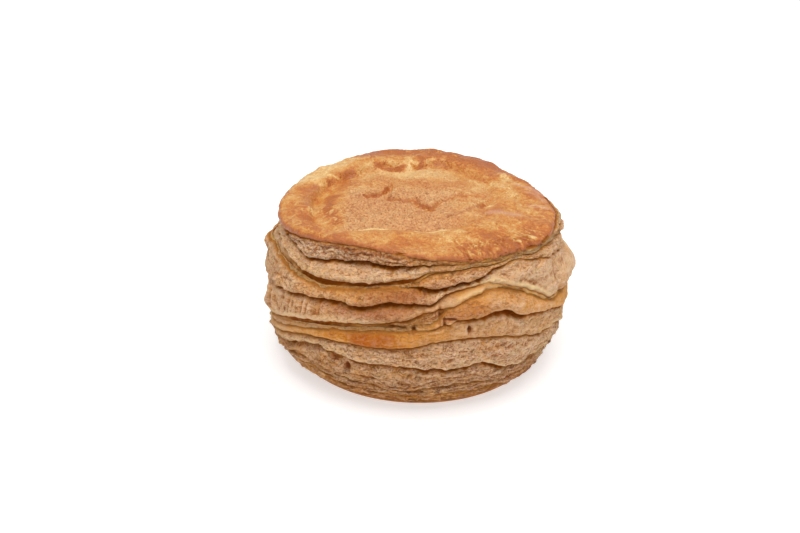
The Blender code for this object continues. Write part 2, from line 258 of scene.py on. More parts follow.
        cave=((0, 0.6),),
        toast=((0, 0.7),),
        flour=((0, 0.1),),
        skin=((0, 1),),
    ),
)

# Places where the drum bulges or is pressed in: bearing, height, half width, half height,
# and how far it stands out there.
BULGES = (
    (-88, 37.5, 6, 2.4, 2.8), (-92, 44, 22, 4, -5), (-90, 30, 18, 10, -3), (86, 31, 14, 4, 1.6),
    (88, 38, 16, 4, -2.6), (85, 43.5, 12, 2.5, 1.2), (62, 8, 18, 6, -0.4), (-60, 9, 20, 6, 1.3),
    (60, 37, 1.6, 5, -1.1), (67, 41, 1.5, 4, -0.8), (38, 41.8, 4.5, 1.5, 0.8), (50, 40.2, 4.5, 2.2, 1),
    (45, 37.6, 3, 1.4, -0.6), (57, 43, 3, 1.4, 0.6), (73, 40, 5, 2.4, 0.8),
)

# Places where the dough has come apart into thin leaves, in the same way.
LEAVES = ((-5, 31.2, 10, 1.9, 1), (-30, 28.4, 8, 0.7, 0.6), (22, 45.6, 14, 1, 0.7))

# Small tears in the dough, in the same way.
TEARS = (
    (8, 34, 0.5, 3, -0.8), (11.6, 33.1, 1.9, 0.35, -1.8), (11.6, 32, 1.7, 0.6, 0.9),
    (9.4, 32.2, 0.4, 1.1, -1.6), (17.7, 29.3, 0.6, 0.9, -2.4), (-0.5, 30, 0.5, 0.7, -2.2),
    (-34.4, 19.5, 1.3, 0.9, -1.6), (-28.6, 17, 2.2, 0.8, -1.3), (-24.2, 14.8, 0.9, 1.3, -2.2),
    (-42.3, 18, 1.6, 0.7, -1.2), (-15, 12.6, 5, 0.3, -0.7), (14, 13.4, 6, 0.3, -0.7),
    (-7, 30.9, 3.5, 0.25, -0.8), (-4, 30.4, 2, 0.2, -0.6),
)

# Places where the dough is darker, in the same way. Most are where the oven browned it.
# Some are painted shade: under the lid's edge, under the lip of the fold above, and the band
# along the foot, which is partly browning and partly painted contact shade.
BROWNING_AND_SHADE_SPOTS = (
    (-4, 39, 12, 2.2, 1.7), (10, 42.2, 7, 1.2, 0.7), (-18, 46.2, 16, 1.2, 0.4),
    (10, 35, 4, 2, 0.5), (-13, 34, 17, 1.8, 1.1), (20, 35, 7, 2.4, 1), (-30, 32.5, 8, 2, 0.4),
    (15, 47.4, 8, 0.8, 0.9), (-25, 48, 20, 0.5, 1.5), (-66, 46.6, 8, 0.5, 0.8),
    (30, 46.4, 12, 0.6, 0.8), (-64, 35, 5, 2, 0.4), (-20, 33.8, 12, 1, 0.4), (-7, 35.8, 8, 1.4, 0.9),
    (-8, 27.5, 12, 1.8, 0.4), (0, 0.5, 400, 2.4, 2.2),
)

# A fold is at least so deep, and from so deep on its lip stands fully out. The lip is
# rounded over so much of it, so many rows run back under it, and the root of the next
# fold is tucked up so far behind it.
LEAST_FOLD, FULL_FOLD = 0.05, 2.4
LIP_ROUND = 1.3
UNDER_ROWS = 3
TURN_UNDER = 0.35

# How far a ridge rises, how high up the face it lies and how wide it is, and how far a
# pleat stands out and how wide it is. A fold has none where its table gives none.
RIDGE_RISE, RIDGE_UP, RIDGE_WIDE = 0.6, 1.1, 0.85
PLEAT_RISE, PLEAT_WIDE = 1.5, 2.2
NONE = ((0, 0),)

# The thin leaves of dough show below one height and above another.
LEAFY_BELOW, LEAFY_ABOVE = 16, 43


def ease(share):
    """0 below 0, 1 above 1, and a smooth rise between them."""
    share = np.clip(share, 0, 1)
    return share * share * (3 - 2 * share)


def curve(points, at):
    """Values at places on the smooth curve through (place, value) points."""
    places, values = np.array(points, float).T
    slopes = np.gradient(values, places)
    at = np.clip(at, places[0], places[-1])
    n = np.clip(np.searchsorted(places, at, side="right") - 1, 0, len(places) - 2)
    span = places[n + 1] - places[n]
    s = (at - places[n]) / span
    bend = s * (1 - s) ** 2 * slopes[n] - s * s * (1 - s) * slopes[n + 1]
    return values[n] + (values[n + 1] - values[n]) * ease(s) + span * bend


def around(points, bearings):
    """Values at bearings, from (bearing, value) points that close round the drum."""
    points = sorted(((place + 180) % 360 - 180, value) for place, value in points)
    before = [(place - 360, value) for place, value in points]
    after = [(place + 360, value) for place, value in points]
    return curve((*before, *points, *after), (bearings + 180) % 360 - 180)


def lumps(places, size, seed):
    """Smooth lumps, from about -1 to 1 and of a given size, at an array of places."""
    tilts = np.random.default_rng(seed).normal(size=(32, 32, 32, 3))
    steps = places / size
    cell = np.floor(steps).astype(int)
    part = steps - cell
    blend = part**3 * (part * (part * 6 - 15) + 10)
    total = 0
    for corner in np.ndindex(2, 2, 2):
        share = np.prod(np.where(corner, blend, 1 - blend), axis=-1)
        x, y, z = np.moveaxis((cell + corner) % 32, -1, 0)
        total = total + share * np.sum(tilts[x, y, z] * (part - corner), axis=-1)
    return total


def wrinkles(places, size, seed):
    """Narrow raised veins from 0 to 1, which wander, at an array of places."""
    wander = [lumps(places, np.array(size) * 2.5, seed + n) for n in (1, 2, 3)]
    veins = np.abs(lumps(places + 0.9 * np.array(size) * np.stack(wander, axis=-1), size, seed))
    return (1 - np.clip(veins / 0.35, 0, 1)) ** 1.5


def belly_radius(bearings, heights):
    """The drum's radius with no folds, which meets the lid's outline at its rim."""
    turn = np.radians(bearings)
    oval = 1 + OVAL_ALONG * np.cos(2 * turn) + OVAL_ACROSS * np.sin(2 * turn)
    lean = LEAN_FRONT * np.cos(turn) + LEAN_RIGHT * np.sin(turn)
    rim_height, rim_radius = BELLY[-1]
    shoulder = ease((heights - SHOULDER_FROM) / (rim_height - SHOULDER_FROM))
    lid_edge = around(LID_OUTLINE, bearings) - oval * rim_radius - lean
    return oval * curve(BELLY, heights) + lean + shoulder * lid_edge


def on_drum(bearings, radius, heights):
    """Places, as an array of (x, y, z), from bearings, radii and heights."""
    turn = np.radians(bearings)
    x, y = radius * np.sin(turn), -radius * np.cos(turn)
    return np.stack(np.broadcast_arrays(x, y, heights), axis=-1)


def spots(table, bearings, heights):
    """The sum at places of the soft-edged spots in a table."""
    total = 0
    for bearing, height, wide, high, strength in table:
        across = (bearings - bearing) * math.pi / 180 * WIDEST / wide
        total = total + strength * np.exp(-(across**2) - ((heights - height) / high) ** 2)
    return total


def fold_relief(n, heights, over_lip, skin, full):
    """How far a fold's dough stands out in lumps and wrinkles, and how leafy it is.

    over_lip is how far each place is from its fold's lip, and full is 1 where the fold is
    deep enough to stand fully out.
    """
    on_it = on_drum(BEARINGS, belly_radius(BEARINGS, heights), heights)
    along_it = on_drum(BEARINGS, 47, n * 11 - over_lip)
    leaves = lumps(along_it, (6, 6, 0.9), 9) + 0.5 * lumps(along_it, (3, 3, 0.5), 15)
    layers = np.maximum(ease((LEAFY_BELOW - heights) / 8), 0.7 * ease((heights - LEAFY_ABOVE) / 2))
    layers = np.maximum(layers, spots(LEAVES, FROM_FRONT, heights))
    relief = 0.5 * lumps(on_it, (7, 7, 5), 7) + 0.45 * skin * lumps(on_it, (3, 3, 2.2), 8)
    relief = relief + skin * full * (
        (0.18 + 0.4 * layers) * leaves
        + 0.22 * (wrinkles(on_it, (3.2, 3.2, 1.4), 10) - 0.3)
        - 0.2 * (wrinkles(on_it, (2, 2, 0.9), 20) - 0.3)
        + 0.07 * lumps(on_it, 0.8, 30)
    )
    return relief, layers


def fold_rows(fold, n, above, above_out, below):
    """One fold's rows of places, from its root to its lip and back under it.

    above is the height of the lip over it by column, above_out is how far that lip
    stands out, and below is the fold under it. Its finishes and its own lip's height
    and reach come with them.
    """
    # The lip is a little ragged, and where the fold is shallow it stands out less.
    edge = on_drum(BEARINGS, 45, n * 9.0)
    ragged = 0.24 * lumps(edge, 4, n) + 0.16 * lumps(edge, 1.5, n + 50)
    ragged = ragged + 0.08 * lumps(edge, 0.8, n + 70)
    lip = np.minimum(around(fold["lip"], BEARINGS) + ragged, above - LEAST_FOLD)
    depth = above - lip
    full = ease(depth / FULL_FOLD)
    skin = around(fold["skin"], BEARINGS)
    cave = around(fold["cave"], BEARINGS) * ease(depth / 0.8)
    torn = 0.35 * lumps(edge, 5, n + 100) + 0.25 * lumps(edge, 1.8, n + 150)
    reach = (around(fold["reach"], BEARINGS) + torn) * full
    plump = around(fold["plump"], BEARINGS) * full
    next_cave = 0.6 if below is None else around(below["cave"], BEARINGS)

    # The face comes out of the cave under the lip above, swells, and rounds at its lip.
    steps = np.linspace(0, 1, fold["rows"])[:, None]
    share = (steps + (1 - np.cos(math.pi * steps)) / 2) / 2
    top = above + TURN_UNDER
    heights = top - (top - lip) * share
    down = share * np.maximum(depth, 0.3)
    held = np.minimum(0.4 * cave, 0.2 * depth)
    rise = ease((down - held) / np.minimum(0.8 + 0.7 * cave, 0.5 * depth + 0.1))
    swell = np.sqrt(np.clip(4 * share * (1 - share), 0, 1))
    to_lip = np.clip(1 - (1 - share) * depth / LIP_ROUND, 0, 1)
    tuck = LIP_ROUND * full * np.clip(0.15 + 0.6 * next_cave, 0, 1) * (1 - np.sqrt(1 - to_lip**2))
    ridge = around(fold.get("ridge", NONE), BEARINGS) * full
    rim = ridge * np.exp(-(((1 - share) * depth - RIDGE_UP) / RIDGE_WIDE) ** 2)
    pleats = around(fold.get("pleats", NONE), BEARINGS) * full
    hanging = np.stack(np.broadcast_arrays(BEARINGS * 0.84, 1.6 * share, n), axis=-1)
    pleats = pleats * lumps(hanging, PLEAT_WIDE, n + 200) * ease((1 - share) / 0.4) * rise
    out = -cave * (1 - rise) + plump * swell + reach * ease(share / 0.8) * rise - tuck
    out = out + RIDGE_RISE * rim + PLEAT_RISE * pleats

    # Behind the lip the dough runs back in to the next fold's root.
    back = np.linspace(0, 1, UNDER_ROWS + 1)[1:, None]
    out = np.concatenate((out, out[-1] - (out[-1] + next_cave) * back))
    heights = np.concatenate((heights, lip + TURN_UNDER * np.sin(back * math.pi / 2)))
    share = np.concatenate((share, 1 + 0 * back)) + 0 * heights
    bare = np.concatenate((rise + 0 * heights[: fold["rows"]], 1 - back + 0 * BEARINGS))

    relief, layers = fold_relief(n, heights, (1 - share) * depth, skin, full)
    tears = spots(TEARS, FROM_FRONT, heights)
    out = out + relief * (0.25 + 0.75 * bare) + spots(BULGES, FROM_FRONT, heights) + tears

    # The shade is deepest in the cave, at the root and behind the lip.
    finger = lumps(on_drum(BEARINGS, 40, 0.12 * heights), 1.6, n + 300)
    under_lip = (above_out - out - 0.45 * (above - heights) + 0.5 * finger * cave) / 1.1
    root = 0.6 * full * np.exp(-((above - heights) / 0.6) ** 2)
    turned = full * np.concatenate((0.42 * to_lip**4, 0.6 + 0.4 * back + 0 * BEARINGS))
    finishes = {
        "toast": around(fold["toast"], BEARINGS) + 0 * heights,
        "flour": around(fold["flour"], BEARINGS) + 0 * heights,
        "skin": skin + 0 * heights,
        "layers": layers,
        # brown is the oven's browning together with painted shade: darker inside the torn holes and in the
        # shaded spots.
        "brown": spots(BROWNING_AND_SHADE_SPOTS, FROM_FRONT, heights) + np.clip(-0.8 * tears, 0, 1.2),
        "ridge": np.concatenate((rim, 0 * back * BEARINGS)),
        "shade": np.clip(np.clip(under_lip, 0, 1) + root + turned, 0, 1),
    }
    lip_out = out[fold["rows"] - 2]
    return on_drum(BEARINGS, belly_radius(BEARINGS, heights) + out, heights), finishes, lip, lip_out


def hollows(places, reach):
    """How deep each place lies in a hollow, against the mean of those within reach."""
    mean = places
    for axis in (0, 1):
        mean = sum(np.roll(mean, step, axis) for step in range(-reach, reach + 1)) / (2 * reach + 1)
    outward = places * (1, 1, 0)
    outward = outward / np.maximum(np.linalg.norm(outward, axis=-1, keepdims=True), 1e-9)
    return np.sum((mean - places) * outward, axis=-1)


def made_of(name, mesh, finishes, order):
    """A mesh object that carries each finish, as a value at every vertex."""
    for finish, values in finishes.items():
        mesh.attributes.new(finish, "FLOAT", "POINT").data.foreach_set("value", values[order])
    mesh.shade_smooth()
    piece = bpy.data.objects.new(name, mesh)
    bpy.context.scene.collection.objects.link(piece)
    return piece


def grid_order(mesh, rows, columns):
    """For each vertex of a grid of -1 to 1, its row from the far edge and its column."""
    flat = np.empty(len(mesh.vertices) * 3)
    mesh.vertices.foreach_get("co", flat)
    across, down, _ = flat.reshape(-1, 3).T
    column = np.rint((across + 1) / 2 * (columns - 1)).astype(int)
    row = np.rint((1 - down) / 2 * (rows - 1)).astype(int)
    return row, column


def wrapped(name, places, finishes):
    """A sheet of dough wrapped into a drum and closed at both ends, as one object.

    Its rows and columns are moved to the rows of places, which run from the top down.
    """
    rows, columns = places.shape[:2]
    sheet = bmesh.new()
    bmesh.ops.create_grid(sheet, x_segments=columns, y_segments=rows - 1, size=1)
    mesh = bpy.data.meshes.new(name)
    sheet.to_mesh(mesh)
    row, column = grid_order(mesh, rows, columns + 1)
    order = (row, column % columns)
    mesh.vertices.foreach_set("co", (places[order] * MM).ravel())
    piece = made_of(name, mesh, finishes, order)
    sheet.clear()
    sheet.from_mesh(mesh)
    edges = [vert for vert in sheet.verts if vert.is_boundary]
    bmesh.ops.remove_doubles(sheet, verts=edges, dist=1e-7)
    bmesh.ops.holes_fill(sheet, edges=[edge for edge in sheet.edges if edge.is_boundary])
    bmesh.ops.recalc_face_normals(sheet, faces=sheet.faces)
    sheet.to_mesh(mesh)
    sheet.free()
    return piece


places, finishes = [], []
above, above_out = around(LID_RIM, BEARINGS), 0.5
for n, fold in enumerate(FOLDS):
    below = FOLDS[n + 1] if n + 1 < len(FOLDS) else None
    fold_places, fold_finishes, above, above_out = fold_rows(fold, n, above, above_out, below)
    places.append(fold_places)
    finishes.append(fold_finishes)

# The base is flat and browned, and its edge is a little rounded: how far in each of its
# rows lies, and how high.
BASE_ROWS = ((0.4, 0.7), (0.9, 0.15), (1.8, 0), (6, 0), (14, 0), (26, 0))
BASE_FINISH = dict(toast=0.9, flour=0, skin=0.6, ridge=0, shade=0, layers=0, brown=0.8)
for inset, height in BASE_ROWS:
    places.append(on_drum(BEARINGS, belly_radius(BEARINGS, height) - inset, height)[None])
    finishes.append({name: np.full((1, COLUMNS), value) for name, value in BASE_FINISH.items()})

# The crease and the cave are how deep each place lies against those close by and farther off.
# The dough's colour uses them to paint shade, darker in creases and hollows, and to paint a
# highlight, paler on crests.
starts = np.cumsum([0] + [len(part) for part in places])
places = np.concatenate(places)
finishes = {name: np.concatenate([part[name] for part in finishes]) for name in finishes[0]}
finishes["crease"] = hollows(places, 2)
finishes["cave"] = hollows(places, 8)

# The folds are three pieces of dough, one on another: each one's name, the folds it runs
# from and to, and how far up its first inner row goes. It starts in a row well inside it,
# and the upper two end in one too. The lowest ends in the middle of the base.
FOLD_PIECES = (("upper_folds", 0, 4, -8), ("middle_folds", 4, 8, 1), ("lower_folds", 8, -1, 1))
INWARD = (0.78, 0.78, 1)
folds = []
for name, first, last, up in FOLD_PIECES:
    span = slice(starts[first], starts[last])
    rows = [places[span][:1] * INWARD + (0, 0, up), places[span]]
    ends_inside = last > 0
    if ends_inside:
        rows.append(places[span][-1:] * INWARD + (0, 0, -1))
    more_rows = ((1, int(ends_inside)), (0, 0))
    carried = {finish: np.pad(values[span], more_rows, "edge") for finish, values in finishes.items()}
    folds.append(wrapped(name, np.concatenate(rows), carried))


def feed(tree, socket, value):
    """Links a socket to another, or gives it a plain value."""
    if isinstance(value, bpy.types.NodeSocket):
        tree.links.new(value, socket)
    else:
        socket.default_value = value


def maths(tree, operation, *values):
    """A Math node's result."""
    node = tree.nodes.new("ShaderNodeMath")
    node.operation = operation
    for socket, value in zip(node.inputs, values):
        feed(tree, socket, value)
    return node.outputs[0]


def blend(tree, share, first, second):
    """The colour a share of the way from the first colour to the second."""
    node = tree.nodes.new("ShaderNodeMix")
    node.data_type = "RGBA"
    for socket, value in ((node.inputs[0], share), (node.inputs[6], first), (node.inputs[7], second)):
        feed(tree, socket, value)
    return node.outputs[2]


def finish_value(tree, name):
    """The value that a piece's mesh carries under a name."""
    node = tree.nodes.new("ShaderNodeAttribute")
    node.attribute_name = name
    return node.outputs["Fac"]


def scaled(tree, value, low, high):
    """A value taken from between low and high to between 0 and 1."""
    node = tree.nodes.new("ShaderNodeMapRange")
    node.inputs["From Min"].default_value = low
    node.inputs["From Max"].default_value = high
    feed(tree, node.inputs["Value"], value)
    return node.outputs["Result"]


def total(tree, *shares):
    """The sum of several values, each times a plain number, as (value, number) pairs."""
    result = 0.0
    for value, times in shares:
        result = maths(tree, "MULTIPLY_ADD", value, times, result)
    return result


def bake_colour(tree, bake, colours):
    """Dough's colour by how far it is baked, from the palest colour at 0 to the last at 1."""
    ramp = tree.nodes.new("ShaderNodeValToRGB")
    for n, colour in enumerate(colours):
        stops = ramp.color_ramp.elements
        stop = stops[n] if n < 2 else stops.new(1)
        stop.color = (*colour, 1)
    for n in range(len(colours)):
        ramp.color_ramp.elements[n].position = n / (len(colours) - 1)
    feed(tree, ramp.inputs["Fac"], bake)
    return ramp.outputs["Color"]


def grain(tree, size, detail=3.0, rough=0.55, warp=0.0, squash=1.0):
    """Noise in a piece's own space, of a size in mm and flattened upwards by squash."""
    place = tree.nodes.new("ShaderNodeTexCoord")
    mapping = tree.nodes.new("ShaderNodeMapping")
    mapping.inputs["Scale"].default_value = (1, 1, squash)
    noise = tree.nodes.new("ShaderNodeTexNoise")
    noise.inputs["Scale"].default_value = 1 / (size * MM)
    noise.inputs["Detail"].default_value = detail
    noise.inputs["Roughness"].default_value = rough
    noise.inputs["Distortion"].default_value = warp
    tree.links.new(place.outputs["Object"], mapping.inputs["Vector"])
    tree.links.new(mapping.outputs["Vector"], noise.inputs["Vector"])
    return noise.outputs["Fac"]


def bumped(tree, height, deep, strength=1.0, over=None):
    """A normal for a surface that a height of 0 to 1 raises by up to deep mm."""
    node = tree.nodes.new("ShaderNodeBump")
    node.inputs["Distance"].default_value = deep * MM
    feed(tree, node.inputs["Strength"], strength)
    tree.links.new(height, node.inputs["Height"])
    if over is not None:
        tree.links.new(over, node.inputs["Normal"])
    return node.outputs["Normal"]


# The dough's colour as it bakes, from pale, through golden, to the orange of a hot spot.
# Then come the dust of flour, which is also laid on crests as a painted highlight, the cream
# of a ridge, partly a painted highlight, the dark brown of pores, cracks and browning, which
# also paints shade in creases and hollows, and the amber and the deep brown of painted shade
# under a fold's lip.
DOUGH_BAKES = ((0.80, 0.49, 0.25), (0.77, 0.39, 0.14), (0.80, 0.34, 0.055), (0.58, 0.145, 0.008))
FLOUR_AND_CREST_HIGHLIGHT = (0.88, 0.61, 0.415, 1)
CREAM_AND_RIDGE_HIGHLIGHT = (0.95, 0.66, 0.35, 1)
DARK_BROWN_AND_SHADE = (0.45, 0.145, 0.045, 1)
SHADE_AMBER = (0.60, 0.25, 0.055, 1)
DEEP_SHADE_BROWN = (0.36, 0.09, 0.005, 1)

dough = bpy.data.materials.new("floured_dough")
dough.use_nodes = True
tree = dough.node_tree
shader = tree.nodes["Principled BSDF"]
shader.inputs["Roughness"].default_value = 0.6
shader.inputs["Specular IOR Level"].default_value = 0.05
shader.inputs["Subsurface Weight"].default_value = 0.35
shader.inputs["Subsurface Radius"].default_value = (1, 0.5, 0.22)
shader.inputs["Subsurface Scale"].default_value = 1.5 * MM
patches = grain(tree, 7, detail=4)
veins = grain(tree, 3, detail=3, rough=0.6, warp=1.2, squash=2.2)
wrinkling = grain(tree, 1.5, detail=3, rough=0.6, warp=1.5, squash=1.5)
pores = grain(tree, 0.8, detail=3, rough=0.7, warp=0.4, squash=1.4)
speckle = grain(tree, 0.45, detail=2, rough=0.6)
sheets = grain(tree, 2.6, detail=3, rough=0.6, warp=0.8, squash=5)
skin = finish_value(tree, "skin")
shade = finish_value(tree, "shade")
layers = finish_value(tree, "layers")
lines = []
for noise, wide, strength in ((veins, 0.028, skin), (wrinkling, 0.045, skin), (sheets, 0.04, layers)):
    from_middle = maths(tree, "ABSOLUTE", maths(tree, "SUBTRACT", noise, 0.5))
    lines.append(maths(tree, "MULTIPLY", scaled(tree, from_middle, wide, 0.0), strength))
cracks, raised_lines, leaf_edges = lines
bake = total(tree, (finish_value(tree, "toast"), 0.75), (patches, 1.4), (pores, 0.25), (1.0, -0.71))
colour = bake_colour(tree, bake, DOUGH_BAKES)
flour = finish_value(tree, "flour")
# Flour dust, with a painted highlight: where the crease value is below 0, on the crests, the dough is paled
# towards the flour colour.
dust_and_crest_highlight = total(
    tree,
    (maths(tree, "MULTIPLY", flour, scaled(tree, speckle, 0.45, 0.7)), 0.3),
    (maths(tree, "MULTIPLY", flour, scaled(tree, pores, 0.5, 0.35)), 0.5),
    (maths(tree, "MULTIPLY", flour, raised_lines), 0.7),
    (scaled(tree, finish_value(tree, "crease"), 0.0, -0.2), 0.4),
)
colour = blend(tree, scaled(tree, dust_and_crest_highlight, 0.0, 1.0), colour, FLOUR_AND_CREST_HIGHLIGHT)
# The ridge along a lip turns cream: partly the dough's pale lip, partly a painted highlight along its
# crest.
colour = blend(tree, maths(tree, "MULTIPLY", finish_value(tree, "ridge"), 0.72), colour, CREAM_AND_RIDGE_HIGHLIGHT)
# Darker towards a dark brown: pores, cracks, the lines between sheets and the oven's browning, with painted
# shade where the crease and cave values are high and in the shaded brown spots.
darkening_and_shade = total(
    tree,
    (maths(tree, "MULTIPLY", scaled(tree, pores, 0.5, 0.72), skin), 0.55),
    (finish_value(tree, "ridge"), -0.4),
    (cracks, 1.1),
    (raised_lines, -0.3),
    (leaf_edges, 0.8),
    (finish_value(tree, "brown"), 0.5),
    (scaled(tree, finish_value(tree, "crease"), 0.02, 0.25), 0.8),
    (scaled(tree, finish_value(tree, "cave"), 0.1, 1.2), 0.3),
)
colour = blend(tree, scaled(tree, darkening_and_shade, 0.0, 1.0), colour, DARK_BROWN_AND_SHADE)
# Painted shade under the lips: where the shade value is high the dough turns amber, then deep brown.
colour = blend(tree, scaled(tree, shade, 0.0, 0.6), colour, SHADE_AMBER)
colour = blend(tree, scaled(tree, shade, 0.3, 1.0), colour, DEEP_SHADE_BROWN)
tree.links.new(colour, shader.inputs["Base Color"])
normal = bumped(tree, maths(tree, "SUBTRACT", 1.0, cracks), 0.3, 0.8)
normal = bumped(tree, raised_lines, 0.25, 0.8, over=normal)
normal = bumped(tree, maths(tree, "SUBTRACT", 1.0, leaf_edges), 0.35, 0.8, over=normal)
normal = bumped(tree, pores, 0.5, 0.9, over=normal)
normal = bumped(tree, speckle, 0.2, 0.9, over=normal)
tree.links.new(normal, shader.inputs["Normal"])
for piece in folds:
    piece.data.materials.append(dough)
    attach(piece, "root")
    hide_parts("pastry")

# ---------------------------------------------------------------------------
# The lid: one sheet of dough, brushed with egg
# The top sheet, pressed down in the middle, so that a ring swells round a shallow
# panel. Egg bakes to a golden gloss on the ring. The panel's skin is drier, and torn.
# ---------------------------------------------------------------------------

# The lid is a square sheet, drawn into a disc. So many of its cells, out from the
# middle, make its top, and the last few turn under its rim.
TOP_CELLS, RIM_CELLS = 147, 3
OVERHANG = 0.25

# The height of the lid's middle, and how far and how wide the sheet's edge rounds up.
MIDDLE_HEIGHT = 48.2
EDGE_RISE, EDGE_ROUND = 1.4, 2.6

# The panel's middle, and by bearing from there its radius and how far it is pressed down.
PANEL_MIDDLE = (-5, 3)
PANEL_EDGE = (
    (-164, 29.1), (-155, 28.6), (-141, 27), (-132, 26.9), (-112, 26.9), (-94, 28.1), (-80, 28.4),
    (-63, 30.4), (-47, 32.6), (-35, 31.6), (-24, 29.5), (2, 27), (18, 28.5), (28, 29.5), (45, 29.7),
    (61, 28.7), (77, 27.7), (99, 30.4), (117, 32.6), (134, 31.8), (157, 32.7), (168, 29.6),
    (174, 27.4),
)
PANEL_DROP = (
    (-135, 1.5), (-90, 1.4), (-50, 0.8), (-10, 0.2), (30, 0.1), (80, 0.2), (120, 0.7), (160, 1.3),
)

# Lines on the lid, as (across, back) from its middle. At a step the left side of the
# line, seen along it, stands higher.
STEPS = (
    (((-17, 5), (-11, 8), (-9, 12)), 0.9),
    (((-8, 8), (-8, 2), (-4, -1), (0, 0), (1, -4), (5, -7), (7, -1), (11, 2), (16, 3)), 0.9),
    (((11, -13), (17, -6), (20, -2), (23, 3)), 0.5),
)
GROOVES = (
    (((-29, 16), (-26, 21), (-22, 25)), 0.5),
    (((-14, 31.5), (-6, 30.5), (1, 32)), 0.5),
    (((4, 37), (7, 41), (11, 43), (14, 44)), 0.5),
    (((20, -4), (22, -1)), 0.5),
)
CRACKS = (
    ((-29, -20), (-26, -23.6), (-17, -25.4), (-4, -25.2), (4, -25.3), (8, -24.6)),
)
NOTCH_AT, NOTCH_WIDE, NOTCH_DEEP = 48, 1.8, 1.1
# Pale streaks are mostly the crust's paler tone; the one on the right of the ring, near its rim, is a
# painted highlight.
PALE_STREAKS = (
    (((-36, 16), (-30, 26), (-24, 33)), 5.5, 0.5),
    (((-14, 23), (0, 24), (12, 19)), 5, 0.4),
    (((28, 23), (31, 18.5), (36, 13.5)), 2.2, 0.75),
    (((-31, 9), (-32.5, -3), (-30, -13), (-27, -20)), 1.3, 0.3),
    (((-29, 10), (-30, 2), (-28, -8)), 0.7, 0.35),
    (((-10, 28), (4, 29.5), (13, 26)), 2.5, 0.3),
    (((12, 8), (16, 4), (17, 1)), 0.8, 0.3),
    (((22.6, -4.4), (23.6, -4.8)), 0.8, 1),
)
# Golden streaks are mostly the crust's own tone; those along the steps, the grooves and the panel's left
# slope are painted shade.
GOLDEN_STREAKS = (
    (((-27, 6), (-28, -3), (-26, -11), (-23, -18)), 1.9, 0.7),
    (((-27.5, -3), (-27.5, -7)), 1.6, 0.9),
    (((-24.5, -13), (-23.5, -15)), 1.2, 0.9),
    (((20, -4.5), (21.8, -1.2)), 0.7, 1.8),
    (((-29, 16), (-26, 21), (-22, 25)), 1.3, 0.9),
    (((-14, 31), (-6, 30.3), (1, 31.6)), 1.1, 1),
    (((2, 35), (6, 41), (11, 43)), 2.2, 0.6),
    (((-16, 4.8), (-11, 7.2), (-9.4, 11)), 0.6, 1.8),
    (((-9, 4), (-8.6, 1), (-4, -2), (-0.5, -1.6), (0.5, -5), (5, -8.6)), 0.9, 1),
    (((5, -8.6), (7, -2.4), (12, 1), (16, 2)), 0.7, 0.7),
    (((1, -5.5), (4, -8)), 1.2, 0.8),
    (((-20, 42), (0, 44), (20, 38), (34, 26)), 6, 1.3),
    (((38, 14), (42, 0), (38, -14)), 6, 0.35),
    (((14, -34), (22, -34), (32, -29)), 3.5, 0.6),
    (((-36, -8), (-33, -18), (-27, -26)), 4, 0.4),
    (((31.5, -28), (34, -31.5)), 1.2, 1),
)
# Brown streaks are where the crust browned, except the one along the step at the front right of the panel,
# which is painted shade.
BROWN_STREAKS = (
    (((-17, 44), (-14, 38), (-15, 36)), 1.6, 0.9),
    (((-33, 11), (-35, 4), (-34, -4)), 1.6, 0.8),
    (((17, 36), (23, 33), (28, 28)), 3, 0.7),
    (((25, 22.6), (27, 21.6)), 0.8, 1),
    (((11, -13.5), (16, -7.5), (20, -3.5)), 0.6, 0.8),
    (((8, 46), (20, 42), (30, 34)), 2.5, 0.5),
    (((-26, -29), (-14, -36), (0, -39)), 1.5, 0.4),
    (((33, -29.5), (35, -32.5)), 0.7, 1),
)
# Painted highlights: pink reflections of the light on the glaze, on the right of the ring.
PINK_HIGHLIGHT_STREAKS = (
    (((33, 15), (37, 13), (40, 10)), 0.9, 0.9),
    (((36, 10), (39, 8), (41, 4)), 0.9, 0.7),
    (((36, -1), (39, -2), (41, -3)), 0.9, 0.7),
    (((23, -10), (28, -11), (31, -9)), 1.6, 0.8),
)


def from_line(points, x, y):
    """How far places are from a smooth line through points, and how far to its left."""
    length = np.arange(len(points))
    fine = np.linspace(0, len(points) - 1, 6 * len(points))
    line = np.stack([curve(tuple(zip(length, values)), fine) for values in zip(*points)], axis=-1)
    away = np.full(np.shape(x), np.inf)
    left = np.zeros(np.shape(x))
    for start, end in zip(line, line[1:]):
        run = end - start
        along = np.clip(((x - start[0]) * run[0] + (y - start[1]) * run[1]) / (run @ run), 0, 1)
        far = np.hypot(x - start[0] - along * run[0], y - start[1] - along * run[1])
        side = (run[0] * (y - start[1]) - run[1] * (x - start[0])) / np.sqrt(run @ run)
        left = np.where(far < away, side, left)
        away = np.minimum(far, away)
    return away, left


def streaks(lines, x, y):
    """How strongly a finish shows at places, for (points, width, strength) lines."""
    total = 0
    for points, wide, strength in lines:
        away, _ = from_line(points, x, y)
        total = total + strength * np.exp(-((away / wide) ** 2))
    return total


LID_CELLS = TOP_CELLS + RIM_CELLS
steps = np.arange(-LID_CELLS, LID_CELLS + 1)
across, back = np.meshgrid(steps, -steps)
ring = np.maximum(abs(across), abs(back))
bearing = np.degrees(np.arctan2(across, -back))
share = np.minimum(ring / TOP_CELLS, 1)
turned_under = np.maximum(ring - TOP_CELLS, 0)
outline = around(LID_OUTLINE, bearing) + OVERHANG
outline = outline - NOTCH_DEEP * np.exp(-(((bearing - NOTCH_AT) / NOTCH_WIDE) ** 2))
flat = on_drum(bearing, outline, 0)
outline = outline + 0.35 * lumps(flat, 3.2, 60) + 0.12 * lumps(flat, 1.3, 61)
flat = on_drum(bearing, share * outline - 0.9 * turned_under, 0)
x, y = flat[..., 0], flat[..., 1]
from_rim = (1 - share) * outline

